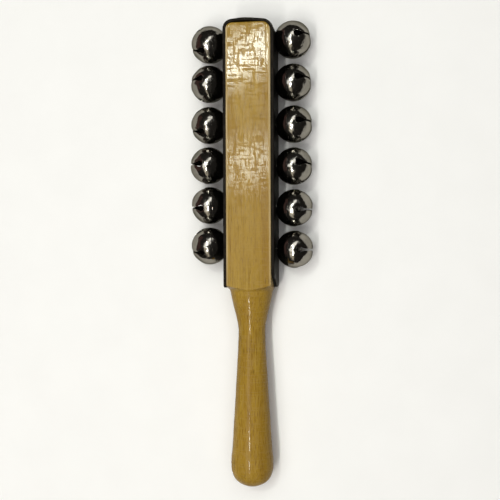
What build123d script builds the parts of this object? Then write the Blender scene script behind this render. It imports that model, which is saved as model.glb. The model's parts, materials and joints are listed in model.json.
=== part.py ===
from build123d import *
from math import cos, radians, sin, tan
import os

# Hand-held sleigh bells, lying on the back face of the wooden head.
# X runs across the head, Y along the length (head end positive), Z up out of the front face.
# The origin is under the middle of the overall length, on the resting face.

# wooden handle, turned from one planed billet
HEAD_W = 29.6          # across the head, between the two strapped sides
HEAD_T = 30.0          # back face to front face
HEAD_TOP_Y = 152.0     # end grain of the head
HEAD_CORNER_R = 4.2    # left corner the strap is bent over
HEAD_WORN_R = 5.9      # right corner, worn rounder
HEAD_EDGE_R = 1.2      # sanded arrises
AXIS_Z = HEAD_T / 2    # lathe axis
TURNING_R = 24.0       # anything outside the corners of the billet
SHOULDER_Y = -19.4     # where the lathe starts to cut the corners away
FACE_END_Y = -23.0     # lowest point of the arc the shoulder leaves on a flat face
QUIRK_Y = -24.4        # inside corner between the shoulder and the neck's cone
QUIRK_R = 14.2
HANDLE_END_Y = -154.6
NECK_Y = -51.0
NECK_R = 8.95
GRIP_Y = -139.9
GRIP_R = 14.15

# groove down each side of the head, under the strap
GROOVE_W = 8.0
GROOVE_FLOOR_X = 10.0
GROOVE_LOW_Y = -12.0
GROOVE_HIGH_Y = 147.0

# leather strap, bent over the end of the head
STRAP_T = 2.0
STRAP_W = 28.0
STRAP_GAP = 0.05
STRAP_END_Y = -21.6
STRAP_IN_X = HEAD_W / 2 + STRAP_GAP
STRAP_OUT_X = STRAP_IN_X + STRAP_T
ARCH_X = -3.0          # the leather bows up off the end grain, highest here
ARCH_Y = 155.45        # meeting point of the two slopes, before the crest is rounded
ARCH_LEFT_Y = 153.9    # each slope carried out to the side of the strap
ARCH_RIGHT_Y = 153.3
CREST_R = 45.0
BEND_LEFT_R = HEAD_CORNER_R + STRAP_T
BEND_RIGHT_R = HEAD_WORN_R + STRAP_T + 0.1
SHANK_HOLE_D = 6.6
CLIP_Y = 10.0          # skived front corner of the right-hand end
CLIP_Z = 15.0
STRAP_CORNER_R = 2.5
BACK_CORNER_R = 4.5    # back corner of the right-hand end

# retaining wires in the grooves
KEEP_WIRE_D = 1.6
KEEP_WIRE_X = STRAP_IN_X - 0.15 - KEEP_WIRE_D / 2
KEEP_LOW_Y = -7.0
KEEP_HIGH_Y = 145.6

# strap tacks, heads driven down into the leather
TACK_HEAD_D = 4.0
TACK_HEAD_T = 0.5
TACK_PROUD = 0.1
TACK_SHANK_D = 1.2
TACK_LEN = 9.0         # leather surface to point
TACK_TAPER = 3.0
TACK_Z = 9.5           # either side of the strap's centre line
TACK_SIDE_Y = (-14.0, 72.8)
TACK_TOP_X = (-11.0, 6.0)

# bell shell
BELL_R = 12.5
BELL_POLE = 11.9       # the slit end is flattened
BELL_SEAT = 11.45      # flat on the crown
WALL = 0.8
SEAM = 3.6             # crimped seam, this far on the strap side of the middle
SPIGOT = 2.0           # crown lip tucked inside the petal cup
SPIGOT_T = 0.5
BELL_GAP = 0.12        # crown to leather
SLIT_W = 1.25
SLIT_HOLE_D = 4.4
SLIT_HOLE_ANGLE = 19.5  # hole centre, above the equator towards the slit pole
FLARE = 3.6            # the hole narrows into the slit over this length
SLITS = 4

# shank loop, a clinched wire staple
LOOP_WIRE_D = 1.2
LOOP_PITCH = 4.8       # between the two legs
LEG_HOLE_D = 1.6
FOOT_REACH = 4.15
FOOT_BEND = 0.9
BOW_INNER_X = 12.9     # the bow passes behind the retaining wire here

# loose steel ball
PELLET_R = 3.0
PELLET_ORBIT = 8.3

# station along the head, twist of the slits, lean of the bell towards the head end,
# and the middle of the bell out from the leather (the tightest are pressed into it)
RIGHT_BELLS = ((142.5, 5, 9, 11.2), (114.1, 9, 5, 11.35), (86.4, 6, 3, 11.9), (58.6, 9, 0, 11.9),
               (30.9, -4, -6, 12.0), (3.5, 0, -2, 12.2))
LEFT_BELLS = ((141.2, -29, -7, 11.2), (114.7, 10, 4, 11.6), (87.0, -24, -9, 11.55), (59.9, 1, 3, 12.1),
              (33.1, -10, -3, 11.4), (5.9, -22, -8, 11.5))


def bell_axis(side, lean):
    return Vector(side * cos(radians(lean)), sin(radians(lean)), 0)


def bell_centre(side, station, stand):
    return Vector(side * (STRAP_OUT_X + stand), station, AXIS_Z)


def stem_station(station, lean, stand):
    # where the shank crosses the middle of the leather
    return station - tan(radians(lean)) * (stand + STRAP_T / 2)


def bell_plane(side, station, twist, lean, stand):
    axis = bell_axis(side, lean)
    across = Vector(-side * sin(radians(lean)), cos(radians(lean)), 0)
    slit = Vector(0, 0, 1) * cos(radians(twist)) + across * sin(radians(twist))
    return Plane(origin=bell_centre(side, station, stand), x_dir=slit, z_dir=axis)


def make_handle():
    length = HEAD_TOP_Y - HANDLE_END_Y
    blank = Pos(0, (HEAD_TOP_Y + HANDLE_END_Y) / 2) * Rectangle(HEAD_W, length)
    blank = fillet(blank.vertices().group_by(Axis.Y)[-1].sort_by(Axis.X)[0], HEAD_CORNER_R)
    blank = fillet(blank.vertices().group_by(Axis.Y)[-1].sort_by(Axis.X)[-1], HEAD_WORN_R)
    billet = extrude(blank, HEAD_T)
    rims = billet.faces().filter_by(Axis.Z).edges()
    billet = fillet(rims, HEAD_EDGE_R)

    shoulder = Spline((21.2, SHOULDER_Y), (18.4, -21.2), (HEAD_T / 2, FACE_END_Y), (QUIRK_R, QUIRK_Y),
                      tangents=((-0.9, -1), (-0.3, -1)))
    swell = Spline(
        (QUIRK_R, QUIRK_Y), (12.7, -32.1), (11.3, -37.6), (10.05, -42.8), (9.2, -47.4), (NECK_R, NECK_Y),
        (9.15, -58.5), (9.55, -66.0), (10.45, -82.0), (11.4, -98.2), (12.45, -114.7), (13.6, -131.2),
        (GRIP_R, GRIP_Y),
        tangents=((-0.2, -1), (0, -1)),
    )
    butt = Spline(
        (GRIP_R, GRIP_Y), (13.55, -144.5), (11.95, -148.5), (10.3, -150.5), (8.5, -151.9), (5.4, -153.4),
        (0, HANDLE_END_Y),
        tangents=((0, -1), (-1, -0.12)),
    )
    top = HEAD_TOP_Y + 1
    outside = Polyline((0, HANDLE_END_Y), (0, top), (TURNING_R, top), (TURNING_R, SHOULDER_Y + 3),
                       (21.2, SHOULDER_Y))
    turned = revolve(make_face([shoulder, swell, butt, outside]), Axis.Y)
    wood = billet & Pos(0, 0, AXIS_Z) * turned

    groove_l = GROOVE_HIGH_Y - GROOVE_LOW_Y
    groove_y = (GROOVE_HIGH_Y + GROOVE_LOW_Y) / 2
    for side in (-1, 1):
        floor = Plane(origin=(side * GROOVE_FLOOR_X, groove_y, AXIS_Z), x_dir=(0, 1, 0), z_dir=(side, 0, 0))
        wood -= extrude(floor * SlotOverall(groove_l, GROOVE_W), HEAD_W)
    for place in tack_places():
        wood -= place * tack_shank()
    return wood


def tack_places():
    # local Z points out of the leather, origin on its outer surface
    places = []
    for dz in (-TACK_Z, TACK_Z):
        for side in (-1, 1):
            for y in TACK_SIDE_Y:
                plane = Plane(origin=(side * STRAP_OUT_X, y, AXIS_Z + dz), z_dir=(side, 0, 0))
                places.append(plane.location)
        for x, (height, slope) in zip(TACK_TOP_X, slope_points()):
            plane = Plane(origin=(x, height, AXIS_Z + dz), z_dir=(-slope, 1, 0))
            places.append(plane.location)
    return places


def slope_points():
    # height and slope of the arched leather under the two top tacks
    left = (ARCH_Y - ARCH_LEFT_Y) / (ARCH_X + STRAP_OUT_X)
    right = (ARCH_RIGHT_Y - ARCH_Y) / (STRAP_OUT_X - ARCH_X)
    return ((ARCH_Y + left * (TACK_TOP_X[0] - ARCH_X), left),
            (ARCH_Y + right * (TACK_TOP_X[1] - ARCH_X), right))


def tack_shank():
    straight = TACK_LEN - TACK_TAPER
    body = Pos(0, 0, -straight / 2) * Cylinder(TACK_SHANK_D / 2, straight)
    tip = Pos(0, 0, -straight - TACK_TAPER / 2) * Cone(0.1, TACK_SHANK_D / 2, TACK_TAPER)
    return body + tip


def tack_head():
    head = Pos(0, 0, TACK_PROUD - TACK_HEAD_T / 2) * Cylinder(TACK_HEAD_D / 2, TACK_HEAD_T)
    return fillet(head.edges().group_by(Axis.Z)[-1], 0.2)


def make_tacks():
    tack = tack_head() + tack_shank()
    return Compound([place * tack for place in tack_places()])


def make_strap():
    outer = FilletPolyline((STRAP_OUT_X, STRAP_END_Y), (STRAP_OUT_X, ARCH_RIGHT_Y), (ARCH_X, ARCH_Y),
                           (-STRAP_OUT_X, ARCH_LEFT_Y), (-STRAP_OUT_X, STRAP_END_Y),
                           radius=(BEND_RIGHT_R, CREST_R, BEND_LEFT_R))
    bent = make_face(offset(outer, amount=STRAP_T, side=Side.LEFT))
    strap = Pos(0, 0, AXIS_Z - STRAP_W / 2) * extrude(bent, STRAP_W, dir=(0, 0, 1))

    ends = strap.edges().filter_by(Axis.X).group_by(Axis.Y)[0]
    back = ends.group_by(Axis.Z)[0].sort_by(Axis.X)
    front_left = ends.group_by(Axis.Z)[-1].sort_by(Axis.X)[0]
    strap = fillet([back[0], front_left], STRAP_CORNER_R)
    strap = fillet(back[-1], BACK_CORNER_R)
    front_z = AXIS_Z + STRAP_W / 2
    clip = Polyline((STRAP_END_Y - 1, front_z - CLIP_Z * (1 + 1 / CLIP_Y)), (STRAP_END_Y + CLIP_Y, front_z),
                    (STRAP_END_Y + CLIP_Y, front_z + 5), (STRAP_END_Y - 1, front_z + 5), close=True)
    side_face = Plane(origin=(STRAP_IN_X - 1, 0, 0), x_dir=(0, 1, 0), z_dir=(1, 0, 0))
    strap -= extrude(side_face * make_face(clip), STRAP_T + 2)

    for side, bells in ((1, RIGHT_BELLS), (-1, LEFT_BELLS)):
        for station, twist, lean, stand in bells:
            hole = Plane(origin=(side * STRAP_OUT_X, stem_station(station, lean, stand), AXIS_Z),
                         z_dir=(side, 0, 0))
            strap -= hole * Cylinder(SHANK_HOLE_D / 2, 4 * STRAP_T)
            strap -= bell_plane(side, station, twist, lean, stand) * make_seat_print()
    for place in tack_places():
        strap -= place * tack_shank()
        strap -= place * tack_head()
    return strap


def make_seat_print():
    # hollow a tightly held crown presses into the leather
    ball = Circle(BELL_R + BELL_GAP) & band(-BELL_SEAT - BELL_GAP, -SEAM)
    half = ball & (Pos(BELL_R, 0) * Rectangle(2 * BELL_R, 4 * BELL_R))
    return revolve(Plane.XZ * half, Axis.Z)


def make_keep_wire(side):
    turn = 1.6
    deep = GROOVE_FLOOR_X + KEEP_WIRE_D / 2 + 0.2
    with BuildLine() as path:
        FilletPolyline((side * deep, KEEP_LOW_Y, AXIS_Z), (side * KEEP_WIRE_X, KEEP_LOW_Y, AXIS_Z),
                       (side * KEEP_WIRE_X, KEEP_HIGH_Y, AXIS_Z), (side * deep, KEEP_HIGH_Y, AXIS_Z), radius=turn)
    start = Plane(origin=path.line @ 0, z_dir=path.line % 0)
    return sweep(start * Circle(KEEP_WIRE_D / 2), path=path.line)


def make_crown():
    # local Z runs from the strap out to the slit pole
    ball = Circle(BELL_R)
    shell = (ball - Circle(BELL_R - WALL)) & band(-BELL_SEAT, -SEAM)
    lap = (ball - Circle(BELL_R - WALL - SPIGOT_T)) & band(-SEAM - 1.4, -SEAM)
    spigot = (Circle(BELL_R - WALL) - Circle(BELL_R - WALL - SPIGOT_T)) & band(-SEAM - 0.2, -SEAM + SPIGOT)
    seat = ball & band(-BELL_SEAT, -BELL_SEAT + WALL)
    half = shell + lap + spigot + seat
    half &= Pos(BELL_R, 0) * Rectangle(2 * BELL_R, 4 * BELL_R)
    crown = revolve(Plane.XZ * half, Axis.Z)
    for side in (-1, 1):
        crown -= Pos(side * LOOP_PITCH / 2, 0, -BELL_SEAT) * Cylinder(LEG_HOLE_D / 2, 4 * WALL)
    return crown


def band(low, high):
    return Pos(0, (low + high) / 2) * Rectangle(4 * BELL_R, high - low)


def make_petals():
    ball = Circle(BELL_R)
    shell = (ball - Circle(BELL_R - WALL)) & band(-SEAM, BELL_POLE)
    pole = ball & band(BELL_POLE - WALL, BELL_POLE)
    half = (shell + pole) & (Pos(BELL_R, 0) * Rectangle(2 * BELL_R, 4 * BELL_R))
    cup = revolve(Plane.XZ * half, Axis.Z)

    hole_z = BELL_R * sin(radians(SLIT_HOLE_ANGLE))
    for step in range(SLITS):
        turn = Rot(0, 0, step * 360 / SLITS)
        slit = Pos(BELL_R / 2, 0, hole_z + BELL_R / 2) * Box(BELL_R, SLIT_W, BELL_R)
        drop = Plane.YZ * teardrop()
        hole = Rot(0, -SLIT_HOLE_ANGLE, 0) * Pos(BELL_R - 3 * WALL, 0, 0) * extrude(drop, 6 * WALL)
        cup -= turn * slit
        cup -= turn * hole
    return cup


def teardrop():
    # round hole drawn out to the width of the slit, towards the pole
    narrow = Pos(0, FLARE) * Circle(SLIT_W / 2)
    return make_hull((Circle(SLIT_HOLE_D / 2) + narrow).edges())


def make_loop(reach):
    # reach is the inside of the bow, measured from the middle of the bell
    half = LOOP_PITCH / 2
    foot_z = -BELL_SEAT + WALL + LOOP_WIRE_D / 2 + 0.1
    bow_z = -reach - LOOP_WIRE_D / 2
    with BuildLine(Plane.XZ) as path:
        leg = FilletPolyline((FOOT_REACH, foot_z), (half, foot_z), (half, bow_z + half), radius=FOOT_BEND)
        ThreePointArc((half, bow_z + half), (0, bow_z), (-half, bow_z + half))
        mirror(leg, about=Plane.YZ)
    start = Plane(origin=(FOOT_REACH, 0, foot_z), z_dir=(-1, 0, 0))
    return sweep(start * Circle(LOOP_WIRE_D / 2), path=path.line)


os.makedirs("parts", exist_ok=True)
pieces = {
    "wooden_handle": make_handle(),
    "leather_strap": make_strap(),
    "retaining_wire_right": make_keep_wire(1),
    "retaining_wire_left": make_keep_wire(-1),
    "strap_tacks": make_tacks(),
}
crown = make_crown()
petals = make_petals()
for side, side_name, bells in ((1, "right", RIGHT_BELLS), (-1, "left", LEFT_BELLS)):
    for number, (station, twist, lean, stand) in enumerate(bells, start=1):
        place = bell_plane(side, station, twist, lean, stand)
        centre = bell_centre(side, station, stand)
        reach = (abs(centre.X) - BOW_INNER_X) / cos(radians(lean))
        name = f"{side_name}_bell_{number}"
        pieces[name + "_crown"] = place * crown
        pieces[name + "_petals"] = place * petals
        pieces[name + "_loop"] = place * make_loop(reach)
        pieces[name + "_pellet"] = Pos(centre.X, centre.Y, centre.Z - PELLET_ORBIT) * Sphere(PELLET_R)

for name, piece in pieces.items():
    export_step(piece, f"parts/{name}.step")
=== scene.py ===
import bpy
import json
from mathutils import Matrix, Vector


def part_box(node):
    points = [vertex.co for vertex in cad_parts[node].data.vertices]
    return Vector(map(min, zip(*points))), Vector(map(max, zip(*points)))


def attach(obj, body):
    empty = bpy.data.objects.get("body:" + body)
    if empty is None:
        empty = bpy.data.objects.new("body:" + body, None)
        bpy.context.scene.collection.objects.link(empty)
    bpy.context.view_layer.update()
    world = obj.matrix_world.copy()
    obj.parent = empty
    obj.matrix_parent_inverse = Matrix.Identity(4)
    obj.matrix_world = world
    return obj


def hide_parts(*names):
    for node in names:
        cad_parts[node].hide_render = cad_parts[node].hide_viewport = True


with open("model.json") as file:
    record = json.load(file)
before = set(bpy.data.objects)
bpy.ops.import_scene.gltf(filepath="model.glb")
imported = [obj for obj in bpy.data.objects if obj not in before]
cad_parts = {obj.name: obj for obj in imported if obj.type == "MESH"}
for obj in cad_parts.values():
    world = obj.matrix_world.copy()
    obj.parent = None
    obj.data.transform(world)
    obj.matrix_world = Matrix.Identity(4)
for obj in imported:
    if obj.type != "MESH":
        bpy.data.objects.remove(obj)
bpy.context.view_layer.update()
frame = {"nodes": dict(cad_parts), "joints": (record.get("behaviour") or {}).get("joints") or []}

import json
from math import acos, asin, cos, exp, floor, hypot, pi, radians, sin, sqrt, tan

import bmesh
import bpy
from mathutils import Matrix, Vector, noise

# Hand sleigh bells lying on a pale table, seen from above.
# The pieces are measured in millimetres, and MM turns them into the frame's metres.
# Materials, stage, lights and camera are in metres.
MM = 0.001

wood_low, wood_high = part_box("wooden_handle")
strap_low, strap_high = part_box("leather_strap")
AXIS_Z = (wood_low.z + wood_high.z) / 2 / MM

# bell shell
BELL_R = 12.5
SHELL_INSET = 0.12           # leaves room for the dents inside the CAD shell
POLE = 11.85                 # the slit end is flattened
POLE_BLEND = 1.0
SEAT = 11.45                 # flat end against the leather
SEAT_INSET = 0.02
SEAT_BLEND = 0.5
SEAT_RINGS = (3.4, 2.3, 1.2)
SEAM = 3.6                   # this far on the strap side of the middle
LIP = ((11.3, 1.6), (11.55, 0.5), (11.95, 0.02))    # crown's turned-in lip: radius, height over seam
SEAM_GAP = 0.012             # between the two halves, in radians
PETAL_WALL = 0.72
PETAL_BEVEL = 0.14
CROWN_WALL = 0.48
CROWN_BEVEL = 0.1
HOLE_R = 2.2
HOLE_ANGLE = radians(70.5)   # from the slit pole
SLIT_HALF = 0.67
FLARE = 3.6                  # the hole narrows into the slit over this length
PETALS = 4
PETAL_SPAN = 2 * pi / PETALS
CURL = 0.2                   # slit edges and hole edges turn in this far
NO_CURL_GAP = 6.0
FACET_ANGLE = radians(47)    # each petal is pressed a little flat here
FACET_DEPTH = 12.1
FACET_BLEND = 0.9
DENT = 0.09
DENT_SCALE = 2.1
PETAL_COLUMNS = 24
SHELL_COLUMNS = PETAL_COLUMNS * PETALS
RING_ROWS = 8
HOLE_ROWS = 11
SLIT_ROWS = 18
CROWN_ROWS = 16
SHELL_TURNS = [2 * pi * i / SHELL_COLUMNS for i in range(SHELL_COLUMNS)]


# ---------------------------------------------------------------- small helpers

def new_object(name, bm, materials, body):
    mesh = bpy.data.meshes.new(name)
    bm.to_mesh(mesh)
    bm.free()
    piece = bpy.data.objects.new(name, mesh)
    bpy.context.scene.collection.objects.link(piece)
    for material in materials:
        mesh.materials.append(material)
    for face in mesh.polygons:
        face.use_smooth = True
    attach(piece, body)
    return piece


def spread(start, end, steps):
    return [start + (end - start) * i / steps for i in range(steps + 1)]


def smooth_step(low, high, value):
    t = min(max((value - low) / (high - low), 0), 1)
    return t * t * (3 - 2 * t)


def smooth_min(a, b, width):
    h = max(width - abs(a - b), 0) / width
    return min(a, b) - h * h * width / 4


class Shader:
    """A material with its Principled shader, and short ways to add nodes to it."""

    def __init__(self, name, **values):
        self.material = bpy.data.materials.new(name)
        self.material.use_nodes = True
        self.tree = self.material.node_tree
        self.bsdf = self.tree.nodes["Principled BSDF"]
        for socket, value in values.items():
            self.bsdf.inputs[socket.replace("_", " ")].default_value = value

    def link(self, source, target):
        self.tree.links.new(source, target)

    def node(self, kind, **settings):
        made = self.tree.nodes.new("ShaderNode" + kind)
        for key, value in settings.items():
            setattr(made, key, value)
        return made

    def coords(self, scale=(1, 1, 1), turn=(0, 0, 0)):
        source = self.node("TexCoord")
        mapping = self.node("Mapping")
        mapping.inputs["Scale"].default_value = scale
        mapping.inputs["Rotation"].default_value = turn
        self.link(source.outputs["Object"], mapping.inputs["Vector"])
        return mapping.outputs["Vector"]

    def noise(self, scale, vector=None, detail=3.0, roughness=0.5, distortion=0.0):
        made = self.node("TexNoise")
        made.inputs["Scale"].default_value = scale
        made.inputs["Detail"].default_value = detail
        made.inputs["Roughness"].default_value = roughness
        made.inputs["Distortion"].default_value = distortion
        self.link(vector if vector else self.coords(), made.inputs["Vector"])
        return made.outputs["Fac"]

    def ramp(self, factor, *stops):
        made = self.node("ValToRGB")
        elements = made.color_ramp.elements
        while len(elements) < len(stops):
            elements.new(0.5)
        for element, (place, color) in zip(elements, stops):
            element.position = place
            element.color = (*color, 1)
        self.link(factor, made.inputs["Fac"])
        return made.outputs["Color"]

    def levels(self, factor, low, high, out_low=0.0, out_high=1.0):
        made = self.node("MapRange")
        ends = {"From Min": low, "From Max": high, "To Min": out_low, "To Max": out_high}
        for socket, value in ends.items():
            made.inputs[socket].default_value = value
        self.link(factor, made.inputs["Value"])
        return made.outputs["Result"]

    def math(self, operation, a, b):
        made = self.node("Math", operation=operation)
        for socket, value in zip(made.inputs, (a, b)):
            if isinstance(value, (int, float)):
                socket.default_value = value
            else:
                self.link(value, socket)
        return made.outputs["Value"]

    def mix(self, factor, a, b):
        made = self.node("Mix", data_type="RGBA")
        for socket, value in ((made.inputs[0], factor), (made.inputs[6], a), (made.inputs[7], b)):
            if isinstance(value, (int, float)):
                socket.default_value = value
            elif isinstance(value, tuple):
                socket.default_value = (*value, 1)
            else:
                self.link(value, socket)
        return made.outputs[2]

    def bump(self, height, strength, distance, after=None):
        made = self.node("Bump")
        made.inputs["Strength"].default_value = strength
        made.inputs["Distance"].default_value = distance
        self.link(height, made.inputs["Height"])
        if after:
            self.link(after, made.inputs["Normal"])
        return made.outputs["Normal"]

    def use(self, socket, source):
        self.link(source, self.bsdf.inputs[socket])


# ---------------------------------------------------------------- materials

HEAD_START = (-0.021, -0.019)      # Y where the turned shoulder becomes the square head
ARRIS = (0.0133, 0.0141)           # distance from the middle of the head to its arrises, where a pale highlight is painted
PALE_WOOD = (0.4, 0.255, 0.04)
MID_WOOD = (0.335, 0.205, 0.029)
DARK_WOOD = (0.27, 0.155, 0.022)
# pale colour painted on the arrises as a highlight
ARRIS_HIGHLIGHT_TONE = (0.66, 0.53, 0.3)


def wood_material():
    s = Shader("lacquered_wood", Specular_IOR_Level=0.22,
               Coat_Weight=0.04, Coat_Roughness=0.08, Coat_IOR=1.5)
    figure = s.noise(1.0, s.coords((150, 7, 110)), detail=4, roughness=0.55, distortion=0.6)
    streak = s.noise(1.0, s.coords((1500, 42, 1500)), detail=3, roughness=0.6)
    pores = s.noise(1.0, s.coords((1900, 150, 1900)), detail=2, roughness=0.5)
    cloud = s.noise(28.0, detail=2)
    tone = s.ramp(figure, (0.3, DARK_WOOD), (0.5, MID_WOOD), (0.72, PALE_WOOD))
    tone = s.mix(s.math("MULTIPLY", s.levels(streak, 0.52, 0.68), 0.6), tone, (0.17, 0.085, 0.009))
    tone = s.mix(s.math("MULTIPLY", s.levels(pores, 0.58, 0.68), 0.6), tone, (0.12, 0.06, 0.008))
    tone = s.mix(s.math("MULTIPLY", s.levels(cloud, 0.35, 0.7), 0.25), tone, (0.3, 0.155, 0.018))

    # painted highlight: the long arrises of the head are painted pale, as their rounded edges would
    # catch the light, in patches, and more towards its free end
    place = s.node("SeparateXYZ")
    s.link(s.coords(), place.inputs["Vector"])
    on_head = s.levels(place.outputs["Y"], *HEAD_START)
    off_middle = s.math("ABSOLUTE", place.outputs["X"], 0)
    arris = s.math("MULTIPLY", s.levels(off_middle, *ARRIS), on_head)
    towards_end = s.levels(place.outputs["Y"], 0.05, 0.09, 0, 0.3)
    # patches where the painted arris highlight shows, stronger towards the free end
    highlight_patches = s.math("ADD", s.levels(cloud, 0.3, 0.6, 0.15, 0.6), towards_end)
    tone = s.mix(s.math("MULTIPLY", arris, s.math("MINIMUM", highlight_patches, 1)), tone, ARRIS_HIGHLIGHT_TONE)
    s.use("Base Color", tone)

    # brushed lacquer: duller strokes along and across the grain break up the gloss
    across = s.noise(1.0, s.coords((110, 800, 110)), detail=1)
    along = s.noise(1.0, s.coords((850, 130, 850)), detail=1)
    patchy = s.noise(1.0, s.coords((260, 180, 260)), detail=2)
    dash = s.math("MINIMUM", s.math("ADD", across, 0.04), s.math("ADD", along, 0.01))
    dash = s.math("ADD", dash, s.levels(patchy, 0.3, 0.7, -0.05, 0.05))
    s.use("Roughness", s.levels(dash, 0.44, 0.465, 0.58, 0.11))
    relief = s.bump(streak, 0.2, 0.00008)
    relief = s.bump(across, 1.0, 0.000007, relief)
    s.use("Normal", s.bump(along, 1.0, 0.000014, relief))
    return s.material


def leather_material(name, color, grain_depth, roughness):
    s = Shader(name, Specular_IOR_Level=0.08)
    cells = s.node("TexVoronoi", feature="SMOOTH_F1")
    cells.inputs["Scale"].default_value = 1250
    s.link(s.coords(), cells.inputs["Vector"])
    wrinkles = s.noise(260.0, detail=4, roughness=0.6)
    fine = s.noise(2600.0, detail=2)
    dark = tuple(0.55 * c for c in color)
    light = tuple(1.9 * c for c in color)
    s.use("Base Color", s.ramp(wrinkles, (0.3, dark), (0.55, color), (0.8, light)))
    s.use("Roughness", s.levels(fine, 0.3, 0.7, roughness - 0.07, roughness + 0.1))
    relief = s.bump(cells.outputs["Distance"], grain_depth, 0.00025)
    s.use("Normal", s.bump(wrinkles, 0.4, 0.0003, relief))
    return s.material


def metal_material(name, color, roughness, scratch, wave=0.0, peel=0.0, edge_tint=(1, 1, 1)):
    """Stained metal; its bumps are a slow wave, the plating's orange peel and fine scratches."""
    s = Shader(name, Metallic=1.0, Specular_Tint=(*edge_tint, 1))
    stain = s.noise(160.0, detail=4, roughness=0.6)
    dull = tuple(0.8 * c for c in color)
    s.use("Base Color", s.ramp(stain, (0.35, dull), (0.6, color)))
    haze = s.noise(420.0, detail=5, roughness=0.65)
    s.use("Roughness", s.levels(haze, 0.35, 0.75, roughness, roughness + 0.1))
    swell = s.noise(95.0, detail=2)
    lines = s.noise(1.0, s.coords((5200, 900, 900), (0.3, 0.5, 0.7)), detail=2)
    relief = s.bump(swell, wave, 0.0012)
    relief = s.bump(s.noise(330.0, detail=1), peel, 0.00025, relief)
    s.use("Normal", s.bump(lines, scratch, 0.00006, relief))
    return s.material


wood = wood_material()
leather = leather_material("black_leather", (0.0085, 0.0078, 0.0068), 0.35, 0.45)
leather_edge = leather_material("leather_cut_edge", (0.016, 0.013, 0.01), 0.7, 0.6)
nickel = metal_material("nickel_plate", (0.42, 0.405, 0.37), 0.1, wave=0.25, scratch=0.15, peel=0.9,
                        edge_tint=(0.25, 0.25, 0.23))
bright_wire = metal_material("drawn_steel_wire", (0.56, 0.55, 0.52), 0.22, scratch=0.5)
raw_inside = metal_material("raw_shell_inside", (0.13, 0.12, 0.11), 0.45, scratch=0.3)
ball_steel = metal_material("ball_steel", (0.45, 0.44, 0.42), 0.3, scratch=0.2)
black_enamel = leather_material("black_tack_enamel", (0.02, 0.02, 0.021), 0.05, 0.3)


def paint(piece, material):
    piece.data.materials.clear()
    piece.data.materials.append(material)


# ---------------------------------------------------------------- bells

def bell_frames():
    """(body name, matrix from the bell's own axes to the frame) of each bell.

    The bell's own Z runs out of the head to its slit pole, and its X points at a slit. The hinge's
    range is 35 degrees each way from straight, less the turn that the bell already has, so the
    middle of the range gives that turn.
    """
    found = []
    for joint in frame["joints"]:
        if not joint["name"].endswith("_twist"):
            continue
        centre = Vector(joint["pos_m"])
        axis = Vector(joint["axis"]).normalized()
        outward = axis if axis.x * centre.x > 0 else -axis
        low, high = joint["range_deg"]
        twist = radians(-(low + high) / 2)
        up = Vector((0, 0, 1))
        slit = up * cos(twist) + axis.cross(up) * sin(twist)
        turn = Matrix((slit, outward.cross(slit), outward)).transposed().to_4x4()
        found.append((joint["child"], Matrix.Translation(centre) @ turn))
    return found


def slit_half_width(theta):
    """Half the opening across a slit, at an angle theta from the pole."""
    from_hole = (HOLE_ANGLE - theta) * BELL_R
    if from_hole < -HOLE_R:
        return 0.0
    tilt = asin((HOLE_R - SLIT_HALF) / FLARE)
    if from_hole < HOLE_R * sin(tilt):
        return sqrt(max(HOLE_R ** 2 - from_hole ** 2, 0))
    t = (from_hole - HOLE_R * sin(tilt)) / (FLARE * 1.25)
    wide = HOLE_R * cos(tilt)
    if t >= 1:
        return SLIT_HALF
    return SLIT_HALF + (wide - SLIT_HALF) * (1 - t) ** 1.5


def on_sphere(theta, phi):
    return Vector((sin(theta) * cos(phi), sin(theta) * sin(phi), cos(theta)))


def shell_point(theta, phi, dent, gap=None):
    """A point on the outer shell; gap is the distance in from the nearest slit edge, if there is one."""
    curl = CURL * exp(-gap ** 2) if gap is not None else 0
    direction = on_sphere(theta, phi)
    wobble = dent.x * 0.001 + DENT * noise.noise(direction * DENT_SCALE + dent)
    p = direction * (BELL_R - SHELL_INSET - curl + wobble)
    if theta < pi / 2:
        facet = (floor(phi / PETAL_SPAN) + 0.5) * PETAL_SPAN
        out = on_sphere(FACET_ANGLE, facet)
        reach = p.dot(out)
        p += out * (smooth_min(reach, FACET_DEPTH, FACET_BLEND) - reach)
    p.z = smooth_min(p.z, POLE - 0.6 * curl, POLE_BLEND)
    return p


def circle(bm, r, z):
    return [bm.verts.new((r * cos(phi), r * sin(phi), z)) for phi in SHELL_TURNS]


def shell_ring(bm, theta, dent):
    return [bm.verts.new(shell_point(theta, phi, dent)) for phi in SHELL_TURNS]


def join_rings(bm, rings):
    for lower, upper in zip(rings, rings[1:]):
        for i in range(len(lower)):
            j = (i + 1) % len(lower)
            bm.faces.new((lower[i], lower[j], upper[j], upper[i]))


def add_petal(bm, ring, petal, thetas, dent):
    """One petal, from the closed ring up to its tip near the pole."""
    start = petal * PETAL_COLUMNS
    below = [ring[(start + i) % SHELL_COLUMNS] for i in range(PETAL_COLUMNS + 1)]
    for theta in thetas:
        radius = BELL_R * sin(theta)
        opening = slit_half_width(theta)
        turn = asin(min(opening / radius, sin(PETAL_SPAN / 2)))
        width = PETAL_SPAN - 2 * turn
        # where the slit is closed there is no edge to curl, so the gap is made large
        closed = NO_CURL_GAP * (1 - smooth_step(0, 0.25, opening + 0.05))
        row = []
        for i in range(PETAL_COLUMNS + 1):
            u = i / PETAL_COLUMNS
            phi = petal * PETAL_SPAN + turn + width * u
            gap = min(u, 1 - u) * width * radius + closed
            row.append(bm.verts.new(shell_point(theta, phi, dent, gap)))
        for i in range(PETAL_COLUMNS):
            bm.faces.new((below[i], below[i + 1], row[i + 1], row[i]))
        below = row


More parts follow.
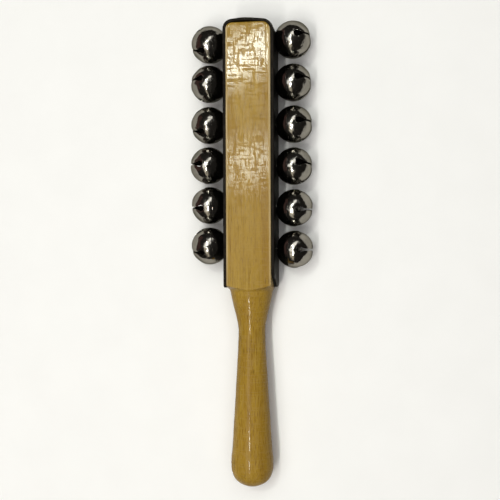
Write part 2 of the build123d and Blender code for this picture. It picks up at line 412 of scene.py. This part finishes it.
def petal_mesh(seed):
    """The slit half of the shell: a closed ring, then four petals that reach for the pole."""
    dent = Vector((seed * 3.7, seed * 1.3, seed * 7.1))
    seam = acos(-SEAM / BELL_R)
    hole_half = HOLE_R / BELL_R
    tip = asin(SLIT_HALF / sin(PETAL_SPAN / 2) / BELL_R)
    # the rows beside a hole stop where it starts to narrow into the slit
    beside_hole = [HOLE_ANGLE + hole_half * cos(pi * i / HOLE_ROWS) for i in range(1, HOLE_ROWS - 2)]
    beside_slit = spread(beside_hole[-1], tip, SLIT_ROWS)[1:]

    bm = bmesh.new()
    rings = [shell_ring(bm, theta, dent) for theta in spread(seam, HOLE_ANGLE + hole_half, RING_ROWS)]
    join_rings(bm, rings)
    for petal in range(PETALS):
        add_petal(bm, rings[-1], petal, beside_hole + beside_slit, dent)
    bmesh.ops.scale(bm, vec=(MM, MM, MM), verts=bm.verts)
    bmesh.ops.remove_doubles(bm, verts=bm.verts, dist=1e-7)
    return bm


def crown_mesh(seed):
    """The crown half: a cup with a flat seat against the leather and a turned-in lip at the seam."""
    dent = Vector((seed * 2.3, seed * 5.1, seed * 0.7))
    seam = acos(-SEAM / BELL_R) + SEAM_GAP
    rim = acos(-SEAT / BELL_R)
    bm = bmesh.new()
    rings = [circle(bm, r, rise - SEAM) for r, rise in LIP]
    for theta in spread(seam, rim, CROWN_ROWS):
        ring = shell_ring(bm, theta, dent)
        for vert in ring:
            vert.co.z = -smooth_min(-vert.co.z, SEAT - SEAT_INSET, SEAT_BLEND)
        rings.append(ring)
    rings += [circle(bm, r, SEAT_INSET - SEAT) for r in SEAT_RINGS]
    join_rings(bm, rings)
    bm.faces.new(list(reversed(rings[-1])))
    bmesh.ops.recalc_face_normals(bm, faces=bm.faces)
    bmesh.ops.scale(bm, vec=(MM, MM, MM), verts=bm.verts)
    return bm


def thicken(piece, wall, bevel):
    """Give the shell its wall; the inside takes the piece's second material."""
    solid = piece.modifiers.new("wall", "SOLIDIFY")
    solid.material_offset = 1
    solid.thickness = wall * MM
    solid.offset = -1
    solid.use_even_offset = True
    edge = piece.modifiers.new("edge", "BEVEL")
    edge.width = bevel * MM
    edge.segments = 2
    edge.limit_method = "ANGLE"
    edge.angle_limit = radians(50)
    smooth = piece.modifiers.new("normals", "WEIGHTED_NORMAL")
    smooth.keep_sharp = True


def make_bell(body, matrix, seed):
    petals = new_object(body + "_petal_cup", petal_mesh(seed), [nickel, raw_inside], body)
    petals.data.transform(matrix)
    thicken(petals, PETAL_WALL, PETAL_BEVEL)
    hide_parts(body + "_petals")
    crown = new_object(body + "_crown_cup", crown_mesh(seed), [nickel, raw_inside], body)
    crown.data.transform(matrix)
    thicken(crown, CROWN_WALL, CROWN_BEVEL)
    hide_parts(body + "_crown")
    paint(frame["nodes"][body + "_loop"], bright_wire)
    paint(frame["nodes"][body + "_pellet"], ball_steel)


bells = bell_frames()
for seed, (body, matrix) in enumerate(bells, start=1):
    make_bell(body, matrix, seed)


# ---------------------------------------------------------------- strap

STRAP_T = 2.0
STRAP_OUT = strap_high.x / MM
STRAP_END = strap_low.y / MM
STRAP_FRONT = strap_high.z / MM
STRAP_BACK = strap_low.z / MM
ARCH = (-3.0, 155.45)      # the two slopes over the end grain meet here
ARCH_LEFT = 153.9
ARCH_RIGHT = 153.3
BENDS = (8.0, 45.0, 6.2)   # right corner, crest, left corner
CORNER_R = 2.5
BACK_CORNER_R = 4.5        # back corner of the right-hand end
CLIP_Y = 10.0              # trimmed front corner of the right-hand end
CLIP_Z = 15.0
STRAP_LIP_W = 0.55         # a thin lip stands on each side of the cut edge
STRAP_LIP_STEPS = 4
STRAP_COLUMNS = 26
PRESS = 0.14               # each bell presses a hollow this deep into the leather
PRESS_R = 5.5
SWELL = 0.05               # and raises the leather round it this much
SWELL_R = 9.0
SWELL_W = 3.0
STRAP_WAVE = 0.05
STRAP_WAVE_SCALE = 0.09
STRAP_INSET = 0.06         # leaves room for the waves inside the CAD strap
SKIN = 0.02
CUT_BAND = 0.3             # the raw cut edge shows this far in from each side of the strap
ARC_STEP = 0.6
RUN_STEP = 1.3


def strap_outer_line():
    """(point on the outer face, outward normal) from the right-hand end over the top to the left."""
    right_side = [(STRAP_OUT, STRAP_END), (STRAP_OUT, ARCH_RIGHT)]
    left_side = [(-STRAP_OUT, ARCH_LEFT), (-STRAP_OUT, STRAP_END)]
    corners = [Vector(corner) for corner in (*right_side, ARCH, *left_side)]
    line = []
    start = corners[0]
    for before, corner, after, radius in zip(corners, corners[1:], corners[2:], BENDS):
        ahead = (corner - before).normalized()
        onward = (after - corner).normalized()
        turn = ahead.angle(onward)
        reach = radius * tan(turn / 2)
        arc_start = corner - ahead * reach
        line += straight_run(start, arc_start)
        normal = Vector((ahead.y, -ahead.x))
        middle = arc_start - normal * radius
        steps = max(6, round(turn * radius / ARC_STEP))
        for i in range(steps):
            n = Matrix.Rotation(turn * i / steps, 2) @ normal
            line.append((middle + n * radius, n))
        start = corner + onward * reach
    line += straight_run(start, corners[-1])
    line.append((corners[-1], Vector((-1, 0))))
    return [(point.to_3d(), n.to_3d()) for point, n in line]


def straight_run(start, end):
    ahead = (end - start).normalized()
    steps = max(1, round((end - start).length / RUN_STEP))
    return [(start.lerp(end, i / steps), Vector((ahead.y, -ahead.x))) for i in range(steps)]


def strap_edges(point):
    """Lowest and highest Z of the leather at this point, with its rounded ends and trimmed corner."""
    d = point.y - STRAP_END
    right = point.x > 0
    low = STRAP_BACK + round_off(d, BACK_CORNER_R if right else CORNER_R)
    high = STRAP_FRONT - round_off(d, CORNER_R)
    if right and d < CLIP_Y:
        high = min(high, STRAP_FRONT - CLIP_Z * (1 - d / CLIP_Y) ** 1.15)
    return low, high


def round_off(d, radius):
    if d >= radius:
        return 0.0
    return radius - sqrt(max(radius ** 2 - (radius - d) ** 2, 0))


def strap_section(low, high):
    """(height, depth from the outer face) of the points round the cut section."""
    turns = [pi / 2 * i / STRAP_LIP_STEPS for i in range(STRAP_LIP_STEPS)]
    lip = [(STRAP_LIP_W * (1 - sin(turn)), STRAP_LIP_W * (1 - cos(turn))) for turn in turns]
    heights = spread(low + STRAP_LIP_W, high - STRAP_LIP_W, STRAP_COLUMNS)
    outline = [(z, 0.0) for z in heights]
    outline += [(high - inset, depth) for inset, depth in reversed(lip)]
    outline += [(high - inset, STRAP_T - depth) for inset, depth in lip]
    outline += [(z, STRAP_T) for z in reversed(heights)]
    outline += [(low + inset, STRAP_T - depth) for inset, depth in reversed(lip)]
    outline += [(low + inset, depth) for inset, depth in lip]
    return outline


def pressed(point, z, seats):
    """How far the bells on this side press the leather in at this point, or raise it if negative."""
    total = 0.0
    for x, y in seats:
        if x * point.x > 0:
            away = hypot(point.y - y, z - AXIS_Z)
            total += PRESS * exp(-((away / PRESS_R) ** 2))
            total -= SWELL * exp(-(((away - SWELL_R) / SWELL_W) ** 2))
    return total


def strap_ring(bm, point, normal, seats):
    ring = []
    for z, depth in strap_section(*strap_edges(point)):
        if depth < STRAP_T / 2:
            press = pressed(point, z, seats) if abs(normal.x) > 0.9 else 0
            wave = STRAP_WAVE * noise.noise(Vector((point.x, point.y, z)) * STRAP_WAVE_SCALE)
            sink = max(depth + press + wave + STRAP_INSET, SKIN)
        else:
            sink = min(depth, STRAP_T - SKIN)
        p = point - normal * sink
        ring.append(bm.verts.new((p.x, p.y, z)))
    return ring


def is_cut_edge(face):
    """Whether a face lies on the raw cut edge of the leather."""
    centre = face.calc_center_median()
    low, high = strap_edges(centre)
    near_edge = centre.z > high - CUT_BAND or centre.z < low + CUT_BAND
    return abs(face.normal.z) > 0.6 or len(face.verts) > 4 or near_edge


def make_strap(bells):
    centres = [matrix.translation / MM for body, matrix in bells]
    seats = [(centre.x, centre.y) for centre in centres]
    bm = bmesh.new()
    rings = [strap_ring(bm, point, normal, seats) for point, normal in strap_outer_line()]
    join_rings(bm, rings)
    bm.faces.new(list(reversed(rings[0])))
    bm.faces.new(rings[-1])
    bmesh.ops.recalc_face_normals(bm, faces=bm.faces)
    for face in bm.faces:
        if is_cut_edge(face):
            face.material_index = 1
    bmesh.ops.scale(bm, vec=(MM, MM, MM), verts=bm.verts)
    strap = new_object("black_leather_strap", bm, [leather, leather_edge], "handle")
    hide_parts("leather_strap")


make_strap(bells)
paint(frame["nodes"]["strap_tacks"], black_enamel)
paint(frame["nodes"]["retaining_wire_right"], bright_wire)
paint(frame["nodes"]["retaining_wire_left"], bright_wire)
paint(frame["nodes"]["wooden_handle"], wood)


# ---------------------------------------------------------------- stage, light and camera

TABLE_R = 1.9
TABLE_GAP = 0.0002
CEILING = 1.5
LAMPS = 1.49               # the small lamps hang just under the ceiling's big ones


def make_floor():
    s = Shader("pale_table", Roughness=0.6, Specular_IOR_Level=0.2)
    grain = s.noise(30.0, detail=3)
    seen = s.ramp(grain, (0.3, (0.89, 0.887, 0.878)), (0.7, (0.91, 0.907, 0.898)))
    bounced = s.ramp(grain, (0.3, (0.6, 0.58, 0.54)), (0.7, (0.64, 0.62, 0.58)))
    s.use("Base Color", s.mix(s.node("LightPath").outputs["Is Camera Ray"], bounced, seen))
    bm = bmesh.new()
    bmesh.ops.create_circle(bm, cap_ends=True, segments=128, radius=TABLE_R)
    mesh = bpy.data.meshes.new("table")
    bm.to_mesh(mesh)
    bm.free()
    mesh.materials.append(s.material)
    table = bpy.data.objects.new("table", mesh)
    bpy.context.scene.collection.objects.link(table)
    table.location = (0, 0, wood_low.z - TABLE_GAP)


def panel(name, place, size, radiance, color, turn=(0, 0, 0), reflected=True):
    """A flat light, facing straight down unless turned; radiance is what a mirror would show of it."""
    data = bpy.data.lights.new(name, "AREA")
    data.shape = "RECTANGLE"
    data.size, data.size_y = size
    data.energy = radiance * pi * size[0] * size[1]
    data.color = color
    lamp = bpy.data.objects.new(name, data)
    bpy.context.scene.collection.objects.link(lamp)
    lamp.location = place
    lamp.rotation_euler = [radians(angle) for angle in turn]
    lamp.visible_glossy = reflected


def make_lights():
    white = (1.0, 0.99, 0.95)
    cream = (1.0, 0.9, 0.72)
    flash = (0.94, 1.0, 0.9)
    panel("overhead_fill", (0, 0.1, 2.0), (2.8, 2.8), 1.1, (1.0, 0.99, 0.985), reflected=False)
    panel("skylight", (0.03, 0.77, CEILING), (2.5, 0.5), 1.9, white, (0, 0, 55.5))
    panel("ceiling_strip", (-0.41, -2.25, CEILING), (0.58, 4.0), 0.75, cream)
    panel("maroon_wall", (-1.7, 0.6, CEILING / 2), (1.3, 3.0), 0.06, (1.0, 0.42, 0.36), (0, -90, 0))
    panel("lamp_1", (-0.235, 0.475, LAMPS), (0.2, 0.045), 105, flash, (0, 0, 27))
    panel("lamp_2", (-0.22, 0.22, LAMPS), (0.12, 0.08), 30, flash, (0, 0, 23))
    panel("lamp_3", (-0.23, -0.37, LAMPS), (0.045, 0.29), 80, white)
    panel("lamp_4", (-0.25, -0.82, LAMPS), (0.045, 0.44), 70, white)
    panel("lamp_5", (1.25, 0.88, LAMPS), (0.03, 0.03), 60, white)


def make_room():
    """A plain pale backdrop to look at, and a dim room to be reflected in the bells."""
    world = bpy.data.worlds.new("dim_room")
    world.use_nodes = True
    nodes = world.node_tree.nodes
    links = world.node_tree.links
    seen = nodes.new("ShaderNodeLightPath").outputs["Is Camera Ray"]
    color = nodes.new("ShaderNodeMix")
    color.data_type = "RGBA"
    color.inputs[6].default_value = (0.022, 0.02, 0.018, 1)
    color.inputs[7].default_value = (0.36, 0.357, 0.35, 1)
    links.new(seen, color.inputs[0])
    links.new(color.outputs[2], nodes["Background"].inputs["Color"])
    bpy.context.scene.world = world


CAMERA_PLACE = (0.08258, 0.0021, 0.56905)
CAMERA_TARGET = (-0.00112, 0.00307, 0.015)
CAMERA_ROLL = radians(-0.217)
CAMERA_LENS = 60.33        # for a sensor 36 mm wide


def make_camera():
    data = bpy.data.cameras.new("camera")
    data.sensor_width = 36
    data.lens = CAMERA_LENS
    data.clip_start = 0.01
    data.clip_end = 20
    camera = bpy.data.objects.new("camera", data)
    bpy.context.scene.collection.objects.link(camera)
    camera.location = CAMERA_PLACE
    look = (Vector(CAMERA_TARGET) - camera.location).normalized()
    right = look.cross(Vector((0, 1, 0))).normalized()
    level = Matrix((right, right.cross(look), -look)).transposed()
    turn = level @ Matrix.Rotation(CAMERA_ROLL, 3, "Z")
    camera.rotation_mode = "QUATERNION"
    camera.rotation_quaternion = turn.to_quaternion()
    bpy.context.scene.camera = camera


make_floor()
make_lights()
make_room()
make_camera()
bpy.context.scene.view_settings.view_transform = "Standard"
